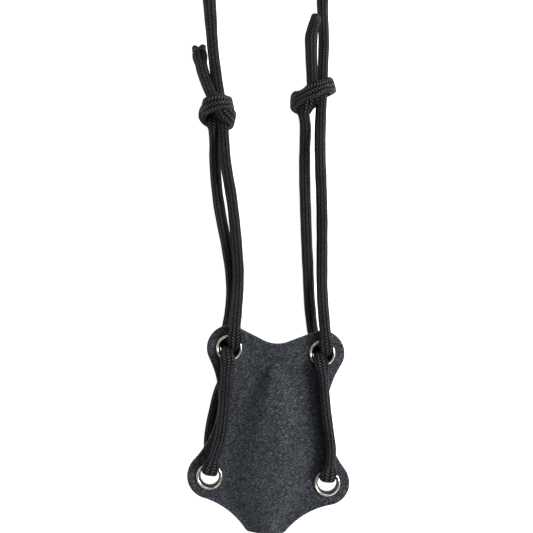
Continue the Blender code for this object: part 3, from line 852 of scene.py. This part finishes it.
def return_cord(side, returning, tail, standing, material, melted):
    """Out of the upper eyelet, up behind the standing cord, round it in an overhand knot, and a tail."""
    centre, way, route = KNOTS[side]
    knot = []
    for across, along, above in np.array(route) / 1000:
        x = centre[0] + way[1] * across + way[0] * along
        y = centre[1] - way[0] * across + way[1] * along
        knot.append((x, y, above, 1.0))
    line = smooth_curve(returning + knot + tail, 0.0010)
    foot = centre[1] - 0.016
    held = line[:, 1] < foot
    held[-8:] = True
    near = (standing[:, 1] > foot - 0.01) & (standing[:, 1] < centre[1] + 0.035)
    round_what = evenly(standing[near], 0.0005)
    line[:, :3] = settle(line[:, :3], held, round_what, gap=0.0033, rounds=160, pull=0.10)
    line = evenly(line, 0.00045)
    points = eased(softened(line[:, :3], 8), centre[1] - 0.008)
    piece = cord_mesh(f"{side}_return_cord_and_knot", points, line[:, 3], material)
    tip = melted_tip(side, points, line[-1, 3], melted)
    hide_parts(f"{side}_return_cord", f"{side}_knot", f"{side}_tail")
    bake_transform(piece)


def melted_tip(side, points, girth, material):
    """The cord's cut end, melted and pinched flat while it was soft."""
    end = points[-1]
    way = points[-1] - points[-6]
    way /= np.linalg.norm(way)
    flat_way = np.array((0.0, 0.0, 1.0)) - way * way[2]
    flat_way /= np.linalg.norm(flat_way)
    wide_way = np.cross(flat_way, way)
    blunt = side == "left"
    widen, thin, reach, shoulder = (1.04, 0.62, 0.0026, 0.66) if blunt else (0.98, 0.46, 0.0024, 0.50)
    sides = 48
    rings = 18
    verts = []
    for ring in range(rings):
        share = ring / (rings - 1)
        round_in = math.sqrt(1 - (max(0.0, share - shoulder) / (1 - shoulder)) ** 2 * 0.97)
        wide = (1 + (widen - 1) * min(1, share * 2)) * round_in
        tall = (1 + (thin - 1) * min(1, share * 1.6)) * round_in
        for index in range(sides):
            angle = 2 * math.pi * index / sides
            lump = 1 + 0.035 * math.sin(3 * angle + 5 * share) + 0.02 * math.sin(7 * angle + 11 * share)
            across = math.cos(angle) * wide
            out = wide_way * across + flat_way * math.sin(angle) * tall
            if blunt:
                nick = 0.0011 * math.exp(-((across - 0.05) / 0.30) ** 2)
            else:
                nick = 0.0010 * max(0.0, 0.15 - across) ** 1.2
            ahead = (share - 0.22) * reach - nick * share ** 2
            verts.append(end + way * ahead + out * CORD_RADIUS * 1.03 * girth * lump)
    faces = ring_faces(rings, sides) + ends(rings, sides)
    tip = add_piece(f"{side}_melted_tip", verts, faces, material)
    facing_out(tip)
    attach(tip, f"{side}_slider")
    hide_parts(f"{side}_cord_tip")
    return tip


def coil_strap(material):
    """A strap round the coil's far side, its end pressed down over its start."""
    width = 0.0078
    thickness = 0.0006
    coil_half = 0.0041
    inside = coil_half + 0.00035
    corner = 0.0016
    straight = inside - corner
    loop = []
    for quarter, (y, z) in enumerate(((1, -1), (1, 1), (-1, 1), (-1, -1))):
        for step in range(7):
            angle = math.radians(-90 + quarter * 90 + step * 15)
            loop.append((y * straight + corner * math.cos(angle), z * straight + corner * math.sin(angle)))
    loop = evenly(np.array([(y, z, 0.0) for y, z in loop + loop[:12]]), 0.0004)[:, :2]
    around = length_of(np.column_stack([loop, np.zeros(len(loop))]))
    steps = len(loop)
    tangent = np.gradient(loop, axis=0)
    tangent /= np.linalg.norm(tangent, axis=1, keepdims=True)
    outward = np.column_stack([tangent[:, 1], -tangent[:, 0]])
    once_round = 4 * 2 * inside * 0.90
    ramp = 0.003
    lift = thickness * 1.05 * smooth_step((np.arange(steps) / steps * around - once_round) / ramp)
    section = [
        (-1, 0.12), (-0.94, 0.0), (0.94, 0.0), (1, 0.12), (1, 0.88), (0.94, 1.0), (-0.94, 1.0), (-1, 0.88),
    ]
    verts = []
    for index in range(steps):
        for across, up in section:
            y, z = loop[index] + outward[index] * (lift[index] + up * thickness)
            verts.append((
                COIL_CENTRE[0] + across * width / 2, COIL_CENTRE[1] + COIL_RADIUS + y, COIL_HEIGHT + z,
            ))
    faces = ring_faces(steps, len(section)) + ends(steps, len(section))
    piece = add_piece("coil_strap", verts, faces, material, smooth_angle=50)
    facing_out(piece)
    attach(piece, "sheath")
    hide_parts("coil_tie")


# Sheath


def mirrored(rounds):
    """The same rounds on the left side."""
    return [((-x, y), radius, turn) for (x, y), radius, turn in reversed(rounds)]


def hollow_between(first, second, radius):
    """The hollow round that touches two bulging ones."""
    (x1, y1), radius1, _ = first
    (x2, y2), radius2, _ = second
    span = math.hypot(x2 - x1, y2 - y1)
    reach1 = radius1 + radius
    reach2 = radius2 + radius
    along = (span ** 2 + reach1 ** 2 - reach2 ** 2) / (2 * span)
    aside = math.sqrt(reach1 ** 2 - along ** 2)
    way_x = (x2 - x1) / span
    way_y = (y2 - y1) / span
    return (x1 + along * way_x + aside * way_y, y1 + along * way_y - aside * way_x), radius, -1


def outline_rounds():
    """The outline's rounds: centre, radius, and 1 where it bulges or -1 where it is hollow."""
    nose = ((NOSE_WIDTH / 2 - NOSE_RADIUS, NOSE_Y + NOSE_RADIUS), NOSE_RADIUS, 1)
    lower = (LOWER_EYELET, LOBE_RADIUS, 1)
    upper = (UPPER_EYELET, LOBE_RADIUS, 1)
    flank = hollow_between(nose, lower, FLANK_RADIUS)
    waist = hollow_between(lower, upper, WAIST_RADIUS)
    notch = ((0.0, TOP_Y - NOTCH_DEPTH + NOTCH_RADIUS), NOTCH_RADIUS, -1)
    right = [nose, flank, lower, waist, upper]
    return right + [notch] + mirrored(right)


def heading(first, second):
    """The way that the outline runs from one round to the next."""
    (x1, y1), radius1, turn1 = first
    (x2, y2), radius2, turn2 = second
    aside = turn2 * radius2 - turn1 * radius1
    along = math.sqrt(max(0.0, (x2 - x1) ** 2 + (y2 - y1) ** 2 - aside ** 2))
    return math.atan2(y2 - y1, x2 - x1) - math.atan2(aside, along)


def outline_loop(spacing):
    """Points along the outline, and the way out of the sheet at each."""
    rounds = outline_rounds()
    points = []
    for index, here in enumerate(rounds):
        (x, y), radius, turn = here
        start = heading(rounds[index - 1], here)
        end = heading(here, rounds[(index + 1) % len(rounds)])
        sweep = turn * ((turn * (end - start)) % (2 * math.pi))
        steps = max(6, math.ceil(abs(sweep) * radius / spacing))
        for step in range(steps + 1):
            angle = start + sweep * step / steps
            points.append((x + turn * radius * math.sin(angle), y - turn * radius * math.cos(angle), 0.0))
    loop = evenly(np.array(points + points[:1]), spacing)[:-1, :2]
    along = np.roll(loop, -1, axis=0) - np.roll(loop, 1, axis=0)
    along /= np.linalg.norm(along, axis=1, keepdims=True)
    return loop, np.column_stack([along[:, 1], -along[:, 0]])


def hole_loop(centre, radius, sides):
    """Points round a hole, and the way out of the sheet at each."""
    angles = 2 * np.pi * np.arange(sides) / sides
    out = np.column_stack([np.cos(angles), np.sin(angles)])
    return np.array(centre) + out * radius, -out


def pocket_half_width(y):
    tip = TOP_Y - POCKET_TIP_BELOW_TOP
    belly = NOSE_Y + POCKET_BELLY_RISE
    shoulder = NOSE_Y + POCKET_SHOULDER_RISE
    share = np.clip((y - belly) / (tip - belly), 0, 1)
    above = POCKET_HALF_WIDTH * (1 - share ** 2.3) ** 0.85
    below = np.maximum(MOUTH_HALF_WIDTH, POCKET_HALF_WIDTH - np.maximum(0.0, shoulder - y) * 0.85)
    return np.where(y > belly, above, below)


def pocket_rise(x, y):
    """How far a sheet stands off its mate over the pocket: long soft slopes up to a crowned top."""
    half = pocket_half_width(y)
    aside = np.abs(x) / np.maximum(half, 1e-4)
    slopes = smooth_step((1 - aside + 0.04) / 0.86) * smooth_step(half / 0.0058)
    crown = np.clip(1 - aside ** 2, 0, 1) ** 2 * smooth_step(half / 0.010)
    return POCKET_SLOPE_RISE * slopes + POCKET_CROWN_RISE * crown


def within(points, loop):
    """Which points lie inside the closed loop."""
    x, y = points[:, 0][:, None], points[:, 1][:, None]
    x1, y1 = loop[:, 0][None], loop[:, 1][None]
    x2, y2 = np.roll(loop, -1, axis=0).T[:, None]
    crosses = (y1 > y) != (y2 > y)
    with np.errstate(divide="ignore", invalid="ignore"):
        left = x < x1 + (y - y1) * (x2 - x1) / (y2 - y1)
    return (crosses & left).sum(axis=1) % 2 == 1


EYELETS = {
    "upper_left": (-UPPER_EYELET[0], UPPER_EYELET[1]),
    "upper_right": UPPER_EYELET,
    "lower_left": (-LOWER_EYELET[0], LOWER_EYELET[1]),
    "lower_right": LOWER_EYELET,
}
EDGE_ROUND = 0.0005
EDGE_STEPS = (0.0, 0.08, 0.30, 0.62, 1.0)


def sheet_plan():
    """The sheet seen flat: points, how far each is drawn down at the rounded edge, triangles, edge loops."""
    outer, outward = outline_loop(0.0006)
    loops = [(outer, outward)] + [hole_loop(place, HOLE_RADIUS, 64) for place in EYELETS.values()]
    points = []
    drops = []
    edges = []
    borders = []
    for number, (loop, out) in enumerate(loops):
        rounding = EDGE_ROUND if number == 0 else EDGE_ROUND * 0.4
        for step in EDGE_STEPS:
            first = sum(map(len, points))
            points.append(loop - out * rounding * step)
            drops.append(np.full(len(loop), rounding * (1 - math.sqrt(1 - (1 - step) ** 2))))
            ring = np.arange(len(loop))
            edges += [(first + a, first + (a + 1) % len(loop)) for a in ring]
            if step == 0.0:
                borders.append(first + ring)
    grid = 0.0007
    xs = np.arange(-SHEATH_WIDTH / 2, SHEATH_WIDTH / 2, grid)
    ys = np.arange(NOSE_Y, TOP_Y, grid)
    field = np.array([(x + (row % 2) * grid / 2, y) for row, y in enumerate(ys) for x in xs])
    field = field[within(field, outer)]
    fixed = np.vstack(points)
    near = np.array([np.hypot(*(fixed - spot).T).min() for spot in field])
    field = field[near > grid * 0.6]
    for loop, _ in loops[1:]:
        field = field[~within(field, loop)]
    points.append(field)
    drops.append(np.zeros(len(field)))
    flat = np.vstack(points)
    _, _, triangles, *_ = delaunay_2d_cdt([Vector(p) for p in flat], edges, [], 0, 1e-8)
    triangles = np.array([t for t in triangles if len(t) == 3])
    middles = flat[triangles].mean(axis=1)
    keep = within(middles, outer)
    for loop, _ in loops[1:]:
        keep &= ~within(middles, loop)
    return flat, np.concatenate(drops), triangles[keep], borders


def moulded_sheet(name, node, side, plan, material):
    """One sheet of the sheath, pressed to the pocket's shape; side is 1 in front."""
    flat, drops, triangles, borders = plan
    rise = pocket_rise(flat[:, 0], flat[:, 1])
    ripple = 0.00005 * np.sin(flat[:, 0] * 310 + 1) * np.sin(flat[:, 1] * 260 + 2)
    top = SHEET_OUTSIDE_Z + rise - drops + ripple
    bottom = SHEET_INSIDE_Z + rise + ripple * 0.5
    outer = np.column_stack([flat, side * top])
    inner = np.column_stack([flat, side * bottom])
    count = len(flat)
    faces = [tuple(t) for t in triangles] + [tuple(t[::-1] + count) for t in triangles]
    for ring in borders:
        for one, two in zip(ring, np.roll(ring, -1)):
            faces.append((one, two, two + count, one + count))
    piece = add_piece(name, np.vstack([outer, inner]), faces, material, smooth_angle=50)
    facing_out(piece)
    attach(piece, "sheath")
    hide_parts(node)


def rolled_eyelet(name, place, material):
    """A turned eyelet: barrel, rolled flange in front with an inner lip, and its set flange behind."""
    seat = SHEET_OUTSIDE_Z + 0.00008
    roll = (FLANGE_RADIUS - BORE_RADIUS) / 2
    middle = BORE_RADIUS + roll
    throat = BORE_RADIUS - 0.00018
    barrel = HOLE_RADIUS - 0.00012
    crest = FLANGE_RADIUS - 0.00050
    crest_rise = 0.00078
    flare_z = 0.0004
    profile = [(throat, z) for z in np.linspace(-seat, flare_z, 5)]
    for step in range(1, 13):
        angle = math.pi / 2 * step / 12
        z = flare_z + (seat + crest_rise - flare_z) * math.sin(angle)
        profile.append((crest - (crest - throat) * math.cos(angle), z))
    for step in range(1, 11):
        angle = math.pi / 2 * step / 10
        z = seat + crest_rise * math.cos(angle) ** 0.8
        profile.append((crest + (FLANGE_RADIUS - crest) * math.sin(angle), z))
    profile += [(FLANGE_RADIUS - 0.0002, seat - 0.00006), (barrel, seat - 0.0001)]
    profile += [(barrel, -seat + 0.0001), (FLANGE_RADIUS - 0.0004, -seat + 0.00005)]
    for step in range(1, 15):
        angle = math.pi * step / 15
        profile.append((middle + roll * 0.92 * math.cos(angle), -seat - 0.00062 * math.sin(angle)))
    sides = 96
    verts = []
    for index in range(sides):
        angle = 2 * math.pi * index / sides
        split = 1 + 0.006 * math.sin(5 * angle) * math.sin(3 * angle + 1)
        for radius, z in profile:
            out = radius * (split if z < -seat else 1.0)
            verts.append((place[0] + out * math.cos(angle), place[1] + out * math.sin(angle), z))
    faces = ring_faces(sides, len(profile), closed=True)
    piece = add_piece(f"rolled_eyelet_{name}", verts, faces, material, smooth_angle=60)
    facing_out(piece)
    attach(piece, "sheath")
    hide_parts(f"eyelet_{name}")


def add_floor(material):
    """A round floor whose rim curves up, so that low views end on it too."""
    sides = 48
    reach = 2.4
    curl = 0.5
    turns = np.radians([0, 22, 44, 66, 88])
    rim = [(reach + curl * math.sin(turn), curl * (1 - math.cos(turn))) for turn in turns]
    verts = []
    for radius, rise in rim:
        for turn in 2 * np.pi * np.arange(sides) / sides:
            verts.append((radius * math.cos(turn), radius * math.sin(turn), TABLE_Z + rise))
    faces = [tuple(range(sides))] + [face[::-1] for face in ring_faces(len(rim), sides)]
    add_mesh("floor", verts, faces, material)


add_camera()
cord = braided_nylon()
melted = melted_nylon()
neck = neck_cord(cord)
half_way = len(neck) // 2
return_cord("left", LEFT_RETURN, LEFT_TAIL, neck[:half_way], cord, melted)
return_cord("right", RIGHT_RETURN, RIGHT_TAIL, neck[half_way:], cord, melted)
plan = sheet_plan()
plastic = grained_plastic()
moulded_sheet("front_sheet", "front_shell", 1, plan, plastic)
moulded_sheet("back_sheet", "back_shell", -1, plan, plastic)
nickel = nickel_plate()
for name, place in EYELETS.items():
    rolled_eyelet(name, place, nickel)
coil_strap(hook_and_loop())
add_floor(white_floor())
add_lights()
